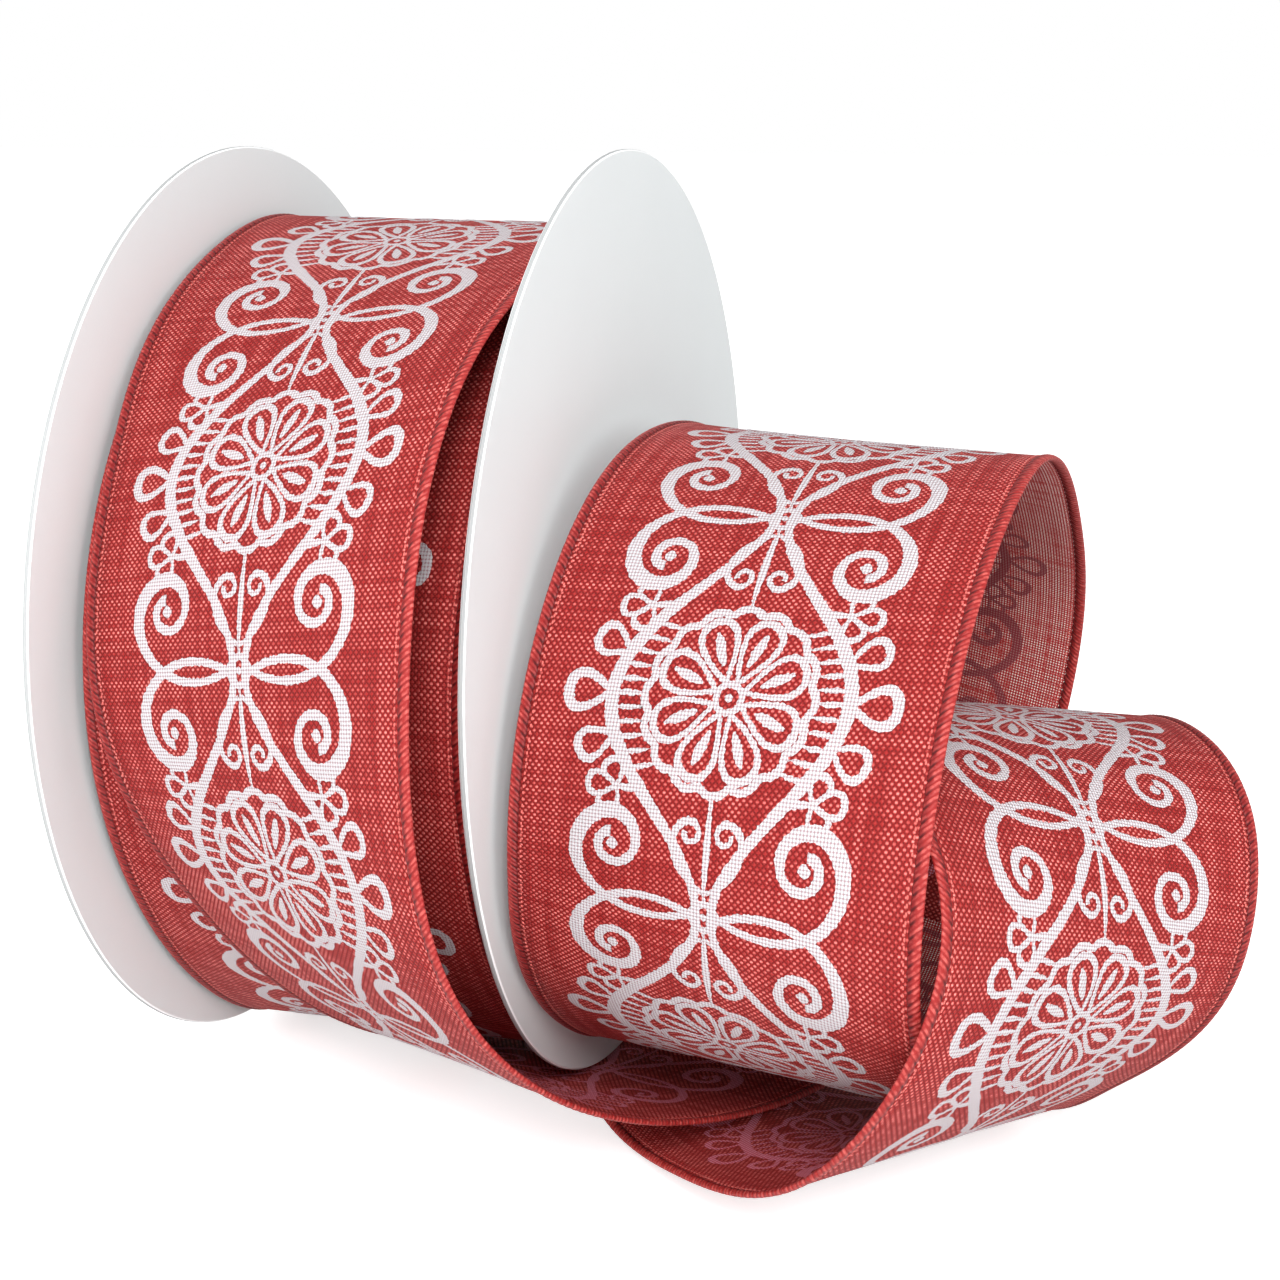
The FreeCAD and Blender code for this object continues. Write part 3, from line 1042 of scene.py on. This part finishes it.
@dataclass
class LaceOrnament:
    """A plain lace border: ogee frames with a rosette in each and scrolls at the knots.

    Its middle is the rosette's; the frames close half a repeat to each side, at the
    knots.  The methods take their places and sizes in millimetres.
    """

    repeat: float = 58 * MM
    frame_reach: float = 16.4 * MM
    frame_gap: float = 1.1 * MM
    frame_width: float = 1.25
    frame_belly: float = 0.75
    rosette_ring: float = 12.6 * MM
    petals: int = 8
    petal_root: float = 2.2
    seed_ends: Spot = (4.6, 9.6)
    eye_ring: float = 1.9
    eye_dot: float = 0.6
    scallop: float = 0.9
    ladder_reach: float = 9.0
    ladder_pitch: float = 1.8
    ladder_splay: float = 1.12
    fan_root: Spot = (12.4, 14.6)
    fan_loops: tuple[Spot, ...] = ((94, 4.6), (28, 3.7), (160, 3.7))  # heading, length
    swing_power: int = 10
    swell_share: float = 0.62
    drop_fineness: float = 0.62
    leaf_bluntness: float = 0.25
    leaf_points: int = 24
    finest: int = 160

    @property
    def ring_radius(self) -> float:
        """The rosette's ring in millimetres."""
        return self.rosette_ring / MM

    @property
    def knot(self) -> float:
        """How far the knots are from the rosette's middle, in millimetres."""
        return self.repeat / MM / 2

    def parameter(self) -> Array:
        """Even shares from 0 to 1."""
        return np.linspace(0, 1, self.finest)

    def frame_height(self, along: Array) -> Array:
        """The ogee's distance from the middle line: a gap plus a raised cosine."""
        wave = 0.5 + 0.5 * np.cos(2 * math.pi * along / self.repeat)
        return self.frame_gap + self.frame_reach * wave

    def frame_top(self, place: float) -> float:
        """The ogee's distance at one place along, both in millimetres."""
        return self.frame_height(np.array([place * MM]))[0] / MM

    def ogee(self) -> Stroke:
        """One side of the frame, thickest at its belly."""
        along = (self.parameter() - 0.5) * self.repeat
        belly = np.cos(math.pi * along / self.repeat) ** 2
        width = (self.frame_width + self.frame_belly * belly) * MM
        return Stroke(along, self.frame_height(along), width)

    def scroll(
        self,
        centre: Spot,
        start: Spot,
        loop: float,
        tip: float,
        turns: float,
        widths: tuple[float, float, float],
    ) -> Stroke:
        """A curl: its radius falls in a straight line from loop to tip, and over the first
        part of the turn also from the start's distance, by a high power of what is left.

        Args:
            centre: the curl's eye.
            start: where it sets out from.
            loop: its radius once it has swung in.
            tip: its radius at the end.
            turns: how often it goes round; negative goes the other way.
            widths: at the start, at the fullest and at the tip.

        Returns:
            The stroke.
        """
        share = self.parameter()
        apart = (start[0] - centre[0], start[1] - centre[1])
        swing = math.hypot(*apart)
        left = 1 - share
        radius = tip + (loop - tip) * left + (swing - loop) * left**self.swing_power
        angle = math.atan2(apart[1], apart[0]) + 2 * math.pi * turns * share
        begin, full, end = widths
        swell = np.sin(math.pi * np.clip(share / self.swell_share, 0, 1)) ** 2
        width = begin + (end - begin) * share + (full - (begin + end) / 2) * swell
        along, across = centre[0] + radius * np.cos(angle), centre[1] + radius * np.sin(angle)
        return Stroke.in_millimetres(along, across, width)

    def drop(
        self, root: Spot, heading: float, length: float, breadth: float, width: float
    ) -> Stroke:
        """A teardrop loop: out by the sine of half a turn, aside by the sine of a turn.

        Args:
            root: its point.
            heading: the way it points, in degrees from along towards across.
            length: from its point to its round end.
            breadth: its widest.
            width: the line's width at the round end.

        Returns:
            The stroke.
        """
        share = self.parameter()
        out = length * np.sin(math.pi * share)
        aside = breadth / 2 * np.sin(2 * math.pi * share)
        turn = math.radians(heading)
        fine = self.drop_fineness
        thick = width * (fine + (1 - fine) * np.sin(math.pi * share) ** 2)
        along = root[0] + out * math.cos(turn) - aside * math.sin(turn)
        across = root[1] + out * math.sin(turn) + aside * math.cos(turn)
        return Stroke.in_millimetres(along, across, thick)

    def leaf(self, start: Spot, end: Spot, width: float) -> Stroke:
        """A straight filled leaf, pointed at both ends by a sine.

        Args:
            start: one end.
            end: the other end.
            width: its widest.

        Returns:
            The stroke.
        """
        share = np.linspace(0, 1, self.leaf_points)
        blunt = self.leaf_bluntness
        along, across = (start[i] + (end[i] - start[i]) * share for i in (0, 1))
        thick = width * (blunt + (1 - blunt) * np.sin(math.pi * share))
        return Stroke.in_millimetres(along, across, thick)

    def ring(self, centre: Spot, radius: float, width: float, scallops: int = 0) -> Stroke:
        """A circle, or with scallops one whose radius swells by the cosine's size.

        Args:
            centre: its middle.
            radius: its radius.
            width: the line's width.
            scallops: how many swellings go round.

        Returns:
            The stroke.
        """
        turn = 2 * math.pi * self.parameter()
        swell = self.scallop * np.abs(np.cos(scallops * turn / 2)) if scallops else 0
        swollen = radius + swell
        along, across = centre[0] + swollen * np.cos(turn), centre[1] + swollen * np.sin(turn)
        return Stroke.in_millimetres(along, across, np.full_like(turn, width))

    def dot(self, centre: Spot, radius: float) -> Stroke:
        """A filled spot, a leaf as wide as it is long."""
        along, across = centre
        return self.leaf((along - radius, across), (along + radius, across), 2 * radius)

    def rosette(self) -> list[Stroke]:
        """Looped petals round an eye, a seed in each, and a scalloped ring."""
        strokes = [
            self.ring((0, 0), radius=self.eye_ring, width=0.95),
            self.dot((0, 0), radius=self.eye_dot),
            self.ring((0, 0), radius=self.ring_radius - 0.9, width=1.15, scallops=2 * self.petals),
        ]
        for index in range(self.petals):
            heading = 360 * (index + 0.5) / self.petals
            ray = (math.cos(math.radians(heading)), math.sin(math.radians(heading)))
            reaches = (self.petal_root, *self.seed_ends)
            root, near, far = ((reach * ray[0], reach * ray[1]) for reach in reaches)
            length = self.ring_radius - 3.6
            strokes.append(self.drop(root, heading, length, breadth=5.2, width=1.15))
            strokes.append(self.leaf(near, far, width=1.5))
        return strokes

    def quarter(self) -> list[Stroke]:
        """What is repeated in the four corners of a repeat: a curl from the knot with a
        spot in its eye, a small curl, a loop on the frame, and a stem with its fan."""
        root = (5.6, self.frame_top(0.0) - 1.3)
        strokes = [
            self.scroll(
                centre=(self.knot - 8.8, 14.6), start=(self.knot, 2.3),
                loop=6.3, tip=1.5, turns=1.62, widths=(1.1, 2.5, 1.5),
            ),
            self.dot((self.knot - 8.6, 14.6), radius=0.9),
            self.scroll(
                centre=(17.6, 2.7), start=(25.5, 0.3),
                loop=2.1, tip=0.8, turns=1.35, widths=(0.7, 1.15, 0.8),
            ),
            self.drop(root, heading=66, length=5.6, breadth=3.9, width=1.3),
            self.leaf(start=(12.7, 10.6), end=(12.4, 15.0), width=1.1),
        ]
        for heading, length in self.fan_loops:
            strokes.append(self.drop(self.fan_root, heading, length, breadth=3.0, width=1.0))
        return strokes

    def half(self) -> list[Stroke]:
        """What is repeated on both sides of the middle line: the frame, the loop on its
        belly, and a ladder of rungs between the rosette and the frame."""
        root = (0, self.frame_top(0.0) + 0.2)
        strokes = [self.ogee(), self.drop(root, heading=90, length=6.6, breadth=4.8, width=1.7)]
        reach = self.ladder_reach
        for place in np.arange(-reach, reach + 0.1, self.ladder_pitch):
            near = math.sqrt(max(self.ring_radius**2 - place**2, 0))
            foot, head = (place, near), (place * self.ladder_splay, self.frame_top(place))
            strokes.append(self.leaf(foot, head, width=0.75))
        return strokes

    def strokes(self) -> list[Stroke]:
        """Every stroke of one repeat."""
        made = self.rosette()
        made += [s.mirrored(1, flip) for s in self.half() for flip in (1, -1)]
        made += [s.mirrored(a, b) for s in self.quarter() for a in (1, -1) for b in (1, -1)]
        end = self.knot - 1.8
        made += [self.leaf((12.6, 0), (end, 0), 1.1), self.leaf((-12.6, 0), (-end, 0), 1.1)]
        made.append(self.ring((self.knot, 0), radius=self.eye_ring, width=1.0))
        made.append(self.dot((self.knot, 0), radius=self.eye_dot))
        return made


@dataclass
class Print:
    """The ornament laid along the ribbon as thin raised ink, spread a little past its lines.

    Strokes that cross are told apart by a layer's rise, given in millimetres.
    """

    ornament: LaceOrnament
    first: float
    step: float
    tooth: float
    crown: float
    boldness: float = 1.22
    sunk: float = 0.02 * MM
    columns: int = 3
    layers: int = 7
    layer_rise: float = 0.004
    seed: int = 7
    least: float = 1e-9

    def repeat_mesh(self) -> tuple[Array, Array, Array]:
        """One repeat as strips of faces.

        Each stroke is a left edge, a crest and a right edge.  The edges stand off the
        line by half its width, give or take a random tooth at every step, as ink runs
        out along the threads.

        Returns:
            The grid's points (along, across), their lift over the cloth, and the faces.
        """
        points, lifts, faces = [], [], []
        count = 0
        wobble = np.random.default_rng(self.seed)
        for index, stroke in enumerate(self.ornament.strokes()):
            line = stroke.even(self.step)
            heading = np.stack([np.gradient(line.along), np.gradient(line.across)], -1)
            heading /= np.maximum(np.linalg.norm(heading, axis=1, keepdims=True), self.least)
            normal = np.stack([-heading[:, 1], heading[:, 0]], -1)
            size = len(line.along)
            middle = np.stack([line.along, line.across], -1)
            sides = []
            for sign in (1, -1):
                tooth = self.tooth * wobble.uniform(-1, 1, size)
                half = self.boldness * line.width / 2 + tooth
                sides.append(middle + sign * normal * half[:, None])
            points.append(np.stack([sides[0], middle, sides[1]], 1).reshape(-1, 2))
            crest = self.crown + (index % self.layers) * self.layer_rise * MM
            lifts.append(np.tile([-self.sunk, crest, -self.sunk], size))
            rows, columns = np.arange(size - 1), np.arange(self.columns - 1)
            row, column = np.meshgrid(rows, columns, indexing="ij")
            near = count + row * self.columns + column
            far = near + self.columns
            faces.append(np.stack([near, near + 1, far + 1, far], -1).reshape(-1, 4))
            count += size * self.columns
        return np.concatenate(points), np.concatenate(lifts), np.concatenate(faces)

    def shell(self, run: Run, base: float) -> Shell:
        """The ink on one length: the faces of all repeats whose middles are on it.

        Args:
            run: the length of ribbon.
            base: the cloth's surface over its middle layer; negative is the inner face.

        Returns:
            The ink's shell.
        """
        flat, lift, faces = self.repeat_mesh()
        repeat = self.ornament.repeat
        before = math.floor((run.start - self.first) / repeat) - 1
        after = math.ceil((run.end - self.first) / repeat) + 2
        numbers = np.arange(before, after)
        offsets = (np.arange(len(numbers)) * len(flat))[:, None, None]
        faces = (faces[None] + offsets).reshape(-1, 4)
        shift = np.stack([self.first + numbers * repeat, 0 * numbers], -1)
        flat = (flat[None] + shift[:, None]).reshape(-1, 2)
        lift = np.tile(lift, len(numbers))
        middle = flat[faces][:, :, 0].mean(1)
        faces = faces[(middle >= run.start) & (middle < run.end)]
        used, faces = np.unique(faces, return_inverse=True)
        faces = faces.reshape(-1, 4)
        flat, lift = flat[used], lift[used]
        side = math.copysign(1, base)
        points = run.lay.place(flat[:, 0], flat[:, 1], side * (abs(base) + lift))
        a, b, d = (points[faces[:, i]] for i in (0, 1, 3))
        out = side * run.lay.middle(flat[faces[:, 0], 0])[2]
        wrong = (np.cross(b - a, d - a) * out).sum(-1) < 0
        faces[wrong] = faces[wrong][:, ::-1]
        return Shell(points, faces, flat[faces][:, :, ::-1], len(faces))


# ------------------------------------------------------------------- ribbon makers


@dataclass
class RibbonMake:
    """How the ribbon is made: cloth, rolled hem, seam stitches, wire.

    The stitches' and the seam's depths are shares of their bead's size, and a fullness
    is the power that their sine is raised to.  Counts are points round a bead.
    """

    width: float
    half_cloth: float = 0.20 * MM
    hem_width: float = 2.0 * MM
    hem_half_thick: float = 0.50 * MM
    hem_step: float = 0.24 * MM
    hem_count: int = 12
    stitch_pitch: float = 1.60 * MM
    stitch_lean: float = 0.70
    stitch_depth: float = 0.32
    stitch_middle: float = 0.55
    stitch_loss: float = 0.45
    stitch_fullness: float = 0.5
    seam_half: float = 0.23 * MM
    seam_rise: float = 0.12 * MM
    seam_pitch: float = 0.95 * MM
    seam_inset: float = 1.6
    seam_depth: float = 0.85
    seam_fullness: float = 0.7
    seam_rings: int = 5
    seam_count: int = 6
    wire_radius: float = 0.17 * MM
    wire_step: float = 1.5 * MM
    wire_count: int = 8

    def hem_centre(self, side: Side) -> float:
        """The hem's middle line, across the ribbon."""
        return side.value * (self.width - self.hem_width) / 2

    def cloth(self, lay: Lay, along: Array, columns: int) -> Shell:
        """The cloth between its hems: out over the top layer and back under the lower.

        Args:
            lay: where the ribbon lies.
            along: the rings' places along it.
            columns: how many places across.

        Returns:
            The cloth's shell.
        """
        edge = self.width / 2 - self.hem_width / 2
        over = np.linspace(-edge, edge, columns)
        across = np.concatenate([over, over[::-1]])
        lift = np.repeat([self.half_cloth, -self.half_cloth], columns)
        shape = (len(along), len(across))
        grid = np.broadcast_to(along[:, None], shape)
        rings = lay.place(grid, np.broadcast_to(across, shape), np.broadcast_to(lift, shape))
        marks = across + np.repeat([0.0, INNER_FACE], columns)
        places = np.stack([np.broadcast_to(marks, shape), grid], -1)
        return Shell.tube(rings, np.concatenate([places, places[:, :1]], 1))

    def bead(
        self,
        lay: Lay,
        along: Array,
        centre: float,
        half_wide: float,
        half_thick: float,
        count: int,
        relief: Callable[[Array, Array], Array],
    ) -> Shell:
        """A long bead: an ellipse carried along the ribbon, its size times one plus a relief.

        Args:
            lay: where the ribbon lies.
            along: the rings' places along it.
            centre: the bead's place across the ribbon.
            half_wide: the ellipse's reach across.
            half_thick: its reach off the cloth.
            count: how many points go round.
            relief: the relief from the place along and the way out across the bead, which
                is -1 at its inner side and 1 at the ribbon's edge.

        Returns:
            The bead's shell.
        """
        turn = 2 * math.pi * np.arange(count + 1) / count
        grid, angle = np.meshgrid(along, turn, indexing="ij")
        size = 1 + relief(grid, math.copysign(1, centre) * np.cos(angle))
        across = centre + half_wide * np.cos(angle)
        lift = half_thick * np.sin(angle) * size
        rings = lay.place(grid, centre + (across - centre) * size, lift)
        return Shell.tube(rings[:, :-1], np.stack([across, grid], -1))

    def hem(self, run: Run, side: Side, step: float, count: int) -> Shell:
        """The rolled hem with its whipped stitches.

        Args:
            run: the length of ribbon.
            side: which edge.
            step: the distance between rings.
            count: how many points go round.

        Returns:
            The hem's shell.
        """
        half, high, centre = self.hem_width / 2, self.hem_half_thick, self.hem_centre(side)

        def relief(place: Array, out: Array) -> Array:
            """Flat-topped stitches: the sine's size to a low power, less one, deepest inside."""
            leaning = place - self.stitch_lean * ((1 - out) * half)
            wave = np.sin(math.pi * leaning / self.stitch_pitch)
            depth = self.stitch_depth * (self.stitch_middle - self.stitch_loss * out)
            return depth * (np.abs(wave) ** self.stitch_fullness - 1)

        return self.bead(run.lay, run.rings(step), centre, half, high, count, relief)

    def seam(self, run: Run, side: Side) -> Shell:
        """The fine row of lock stitches just inside the hem.

        Args:
            run: the length of ribbon.
            side: which edge.

        Returns:
            The seam's shell.
        """
        along = run.rings(self.seam_pitch / self.seam_rings)
        inset = self.seam_inset * self.seam_half
        centre = side.value * (self.width / 2 - self.hem_width - inset)
        half, high = self.seam_half, self.half_cloth + self.seam_rise

        def relief(place: Array, out: Array) -> Array:
            """Bead-like stitches: the sine's size, sunk to nearly nothing between stitches."""
            wave = np.sin(math.pi * place / self.seam_pitch)
            return self.seam_depth * (np.abs(wave) ** self.seam_fullness - 1)

        return self.bead(run.lay, along, centre, half, high, self.seam_count, relief)

    def wire(self, run: Run, side: Side) -> Shell:
        """The fine round wire inside the hem.

        Args:
            run: the length of ribbon.
            side: which edge.

        Returns:
            The wire's shell.
        """
        along, centre, radius = run.rings(self.wire_step), self.hem_centre(side), self.wire_radius
        circle = (centre, radius, radius, self.wire_count)
        return self.bead(run.lay, along, *circle, lambda place, out: 0 * place)


@dataclass
class RibbonFinishes:
    """The materials that the ribbon's pieces share."""

    cloth: Material
    lit_cloth: Material
    hem: Material
    ink: Material
    ghost: Material
    dark_ghost: Material
    wire: Material


class RidingGoods:
    """Goods whose pieces ride one body and stand for the frame's nodes."""

    body: str

    def add(self, shell: Shell, name: str, material: Material, node: str, slot: str) -> Piece:
        """Makes a piece that rides the body.

        Args:
            shell: the piece's mesh.
            name: its name.
            material: its finish.
            node: the frame's node that it stands for.
            slot: not used.

        Returns:
            The piece.
        """
        piece = shell.piece(name, material)
        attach(piece, self.body)
        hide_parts(node)
        LOG.info("%s: %d faces", piece.name, len(piece.data.polygons))
        return piece


@dataclass
class LooseRibbon(RidingGoods):
    """The ribbon off the roll, in the stretches that the frame has as nodes."""

    lay: LooseLay
    make: RibbonMake
    finishes: RibbonFinishes
    front: Print
    ghost: Print
    body: str = "loose_ribbon"
    # the stretch whose cloth and show-through carry painted backlight
    against_the_light: str = "large_coil"
    nodes: tuple[str, ...] = (
        "inner_turn", "outer_turn", "run_under_flange", "large_coil", "small_coil", "ribbon_tail",
    )
    rests: tuple[str, ...] = (
        "wound_cloth", "inner_turn", "outer_turn", "table", "large_coil", "table",
    )
    cloth_step: float = 1.0 * MM
    cloth_columns: int = 21

    def build(self) -> None:
        """Builds each stretch and then the two wires."""
        joins = self.lay.joins
        for node, rest, start, end in zip(self.nodes, self.rests, joins, joins[1:]):
            self.stretch(node, rest, Run(self.lay, start, end))
        whole = Run(self.lay, joins[0], joins[-1])
        for side in Side:
            node = f"edge_wire_{side.label}"
            wire = self.make.wire(whole, side)
            self.add(wire, node + "_run", self.finishes.wire, node, "edge_wire")

    def stretch(self, node: str, rest: str, run: Run) -> None:
        """Builds one stretch.

        Args:
            node: the frame's node that it stands for.
            rest: not used.
            run: its length of the ribbon.
        """
        # That stretch takes the cloth and the show-through with painted light and shade as if lit
        # from behind.
        lit = node == self.against_the_light
        weave = self.finishes.lit_cloth if lit else self.finishes.cloth
        ghost = self.finishes.dark_ghost if lit else self.finishes.ghost
        make, on_it = self.make, []
        shell = make.cloth(self.lay, run.rings(self.cloth_step, 2), self.cloth_columns)
        cloth = self.add(shell, node + "_cloth", weave, node, "ribbon_cloth")
        for side in Side:
            hem = make.hem(run, side, make.hem_step, make.hem_count)
            for kind, shell in (("hem", hem), ("seam", make.seam(run, side))):
                name = f"{node}_{kind}_{side.label}"
                on_it.append(self.add(shell, name, self.finishes.hem, node, "ribbon_hem"))
        for kind, ink, base, finish in (
            ("print", self.front, make.half_cloth, self.finishes.ink),
            ("show_through", self.ghost, -make.half_cloth, ghost),
        ):
            shell = ink.shell(run, base)
            on_it.append(self.add(shell, f"{node}_{kind}", finish, node, "ribbon_cloth"))


@dataclass
class WoundRoll(RidingGoods):
    """The ribbon still wound on the tube."""

    lay: WoundLay
    make: RibbonMake
    finishes: RibbonFinishes
    front: Print
    body: str = "spool"
    cloth_step: float = 3.0 * MM
    cloth_columns: int = 5
    hidden_hem_step: float = 4.0 * MM
    hidden_hem_count: int = 8

    def build(self) -> None:
        """Builds the spiral cloth, the print of its last turn and its hems."""
        make, finishes, whole = self.make, self.finishes, self.lay.length
        last = whole - 2 * math.pi * (self.lay.last - self.lay.pitch / 2)
        every, hidden = Run(self.lay, 0.0, whole), Run(self.lay, 0.0, last)
        seen = Run(self.lay, last, whole)
        shell = make.cloth(self.lay, every.rings(self.cloth_step), self.cloth_columns)
        cloth = self.add(shell, "wound_turns_cloth", finishes.cloth, "wound_cloth", "ribbon_cloth")
        shell = self.front.shell(seen, make.half_cloth)
        ink = self.add(shell, "wound_turns_print", finishes.ink, "wound_cloth", "ribbon_cloth")
        for side in Side:
            node = f"wound_hem_{side.label}"
            inner = make.hem(hidden, side, self.hidden_hem_step, self.hidden_hem_count)
            outer = make.hem(seen, side, make.hem_step, make.hem_count)
            for name, shell in (
                (node + "_inner", inner),
                (node + "_outer", outer),
                (f"wound_seam_{side.label}", make.seam(seen, side)),
            ):
                self.add(shell, name, finishes.hem, node, "ribbon_hem")


@dataclass
class Discs:
    """The two paperboard discs and the tube, kept as the frame has them."""

    board: Material
    tube: Material

    def dress(self) -> None:
        """Gives the frame's own nodes their finishes."""
        finishes = {"flange_left": self.board, "flange_right": self.board, "core_tube": self.tube}
        for node, material in finishes.items():
            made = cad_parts[node]
            for slot in made.material_slots:
                slot.material = material
            if not made.material_slots:
                made.data.materials.append(material)
            LOG.info("%s dressed", node)


# ------------------------------------------------------------------------ studio


@dataclass(frozen=True)
class Lamp:
    """One soft square light."""

    name: str
    place: tuple[float, float, float]
    size: float
    power: float
    aim: tuple[float, float, float] = (0.03, 0.0, 0.0)

    def hang(self) -> None:
        """Adds the light, turned towards its aim."""
        data = bpy.data.lights.new(self.name, "AREA")
        data.shape = "SQUARE"
        data.size = self.size
        data.energy = self.power
        made = in_scene(self.name, data)
        made.location = self.place
        back = made.location - Vector(self.aim)
        made.rotation_mode = "QUATERNION"
        made.rotation_quaternion = back.to_track_quat("Z", "Y")


@dataclass
class Studio:
    """The camera, the pale floor and the lights."""

    floor_height: float
    lens: float = 64.75
    sensor: float = 36.0
    nearest: float = 0.01
    eye: tuple[float, float, float] = (0.14399, -0.35517, 0.08346)
    pitch: float = 76.66
    yaw: float = 16.93
    floor_reach: float = 6.0
    floor_colour: Colour = (0.86, 0.86, 0.86)
    floor_glow: float = 0.62
    sky_light: float = 0.60
    lamps: tuple[Lamp, ...] = (
        Lamp("key", (0.40, -1.00, 0.70), size=0.4, power=13.6),
        Lamp("front", (0.25, -1.20, 0.12), size=0.7, power=6.2),
        Lamp("left", (-0.95, -0.75, 0.45), size=1.0, power=4.0),
        Lamp("right", (1.10, -0.45, 0.35), size=1.0, power=3.0),
    )

    def camera(self) -> None:
        """Places the camera."""
        data = bpy.data.cameras.new("camera")
        data.lens = self.lens
        data.sensor_width = self.sensor
        data.clip_start = self.nearest
        made = in_scene("camera", data)
        made.location = self.eye
        made.rotation_euler = (math.radians(self.pitch), 0.0, math.radians(self.yaw))
        bpy.context.scene.camera = made

    def floor(self) -> None:
        """Lays a wide pale floor that the camera sees a little lighter than it is lit."""
        ends = np.array([-self.floor_reach, self.floor_reach])
        x, y = np.meshgrid(ends, ends)
        points = np.stack([x.ravel(), y.ravel(), np.full(4, self.floor_height)], -1)
        mesh = bpy.data.meshes.new("floor")
        mesh.from_pydata(points.tolist(), [], [(0, 1, 3, 2)])
        wiring = Wiring("pale_floor")
        lit = wiring.node("BsdfDiffuse")
        wiring.feed(lit.inputs["Color"], self.floor_colour)
        glow = wiring.node("Emission")
        wiring.feed(glow.inputs["Color"], (1.0, 1.0, 1.0))
        seen = wiring.node("LightPath").outputs["Is Camera Ray"]
        wiring.feed(glow.inputs["Strength"], wiring.times(seen, self.floor_glow))
        both = wiring.node("AddShader")
        wiring.feed(both.inputs[0], lit.outputs[0])
        wiring.feed(both.inputs[1], glow.outputs[0])
        wiring.feed(wiring.output.inputs["Surface"], both.outputs[0])
        mesh.materials.append(wiring.material)
        in_scene("floor", mesh)

    def sky(self) -> None:
        """A soft even light all round, which the camera and clear things see as white."""
        world = bpy.data.worlds.new("studio")
        world.use_nodes = True
        tree = world.node_tree
        glow = next(n for n in tree.nodes if n.type == "BACKGROUND")
        path = tree.nodes.new("ShaderNodeLightPath")
        seen = tree.nodes.new("ShaderNodeMath")
        seen.operation = "MAXIMUM"
        tree.links.new(path.outputs["Is Camera Ray"], seen.inputs[0])
        tree.links.new(path.outputs["Is Transmission Ray"], seen.inputs[1])
        strength = tree.nodes.new("ShaderNodeMapRange")
        strength.inputs["To Min"].default_value = self.sky_light
        strength.inputs["To Max"].default_value = 1.0
        tree.links.new(seen.outputs[0], strength.inputs["Value"])
        tree.links.new(strength.outputs[0], glow.inputs["Strength"])
        glow.inputs["Color"].default_value = (1.0, 1.0, 1.0, 1.0)
        bpy.context.scene.world = world

    def build(self) -> None:
        """Sets up the whole studio."""
        self.camera()
        self.floor()
        self.sky()
        for lamp in self.lamps:
            lamp.hang()
        bpy.context.scene.view_settings.view_transform = "Standard"


def ribbon_finishes(make: RibbonMake) -> RibbonFinishes:
    """Makes the ribbon's materials.

    Args:
        make: the sizes that the stitching follows.

    Returns:
        The materials.
    """
    weave = LinenWeave()
    stitch = SatinStitch(
        make.width / 2, make.hem_width, make.stitch_pitch, make.stitch_lean, make.seam_pitch
    )
    ink = WhitePrint(
        weave, "white_ink", ink=(0.63, 0.605, 0.63), worn=(0.38, 0.15, 0.165), hold=0.50
    )
    ghost = WhitePrint(
        weave, "ink_showing_through",
        ink=(0.78, 0.36, 0.50), worn=weave.thread, hold=1.0, wear=1.0, thin=0.92,
    )
    # Show-through on the backlit stretch: its dark ink is painted shade where the print blocks the
    # light behind, and its pale worn corners are painted light shining through.
    dark_ghost = WhitePrint(
        weave, "ink_against_the_light",
        ink=(0.26, 0.028, 0.040), worn=(0.80, 0.50, 0.46), hold=0.6, wear=0.35,
    )
    return RibbonFinishes(
        cloth=weave.material(),
        # cloth with a painted shade on its inner face and painted light in its corners
        lit_cloth=LinenWeave("linen_against_the_light", painted_pinhole_light=1.0).material(),
        hem=stitch.material(),
        ink=ink.material(),
        ghost=ghost.material(),
        dark_ghost=dark_ghost.material(),
        wire=SoftIron().material(),
    )


def main() -> None:
    """Builds the pieces in order."""
    logging.basicConfig(level=logging.INFO, format="%(name)s: %(message)s")
    sizes = SpoolSizes()
    Studio(floor_height=CAD_BOX[0][2]).build()
    make = RibbonMake(width=sizes.width)
    finishes = ribbon_finishes(make)
    ornament = LaceOrnament()
    front = Print(ornament, first=20 * MM, step=0.32 * MM, tooth=0.15 * MM, crown=0.07 * MM)
    ghost = Print(ornament, first=20 * MM, step=0.80 * MM, tooth=0.10 * MM, crown=0.03 * MM)
    LooseRibbon(LooseLay(sizes), make, finishes, front, ghost).build()
    pitch = 2 * make.hem_half_thick + TURN_GAP
    WoundRoll(WoundLay(sizes, pitch, make.hem_half_thick), make, finishes, front).build()
    board = CoatedBoard(sizes.disc_radius - DISC_BEVEL, sizes.disc_radius - DISC_CUT_RIM)
    Discs(board.material(), GreyBoard().material()).dress()


if __name__ == "__main__":
    main()
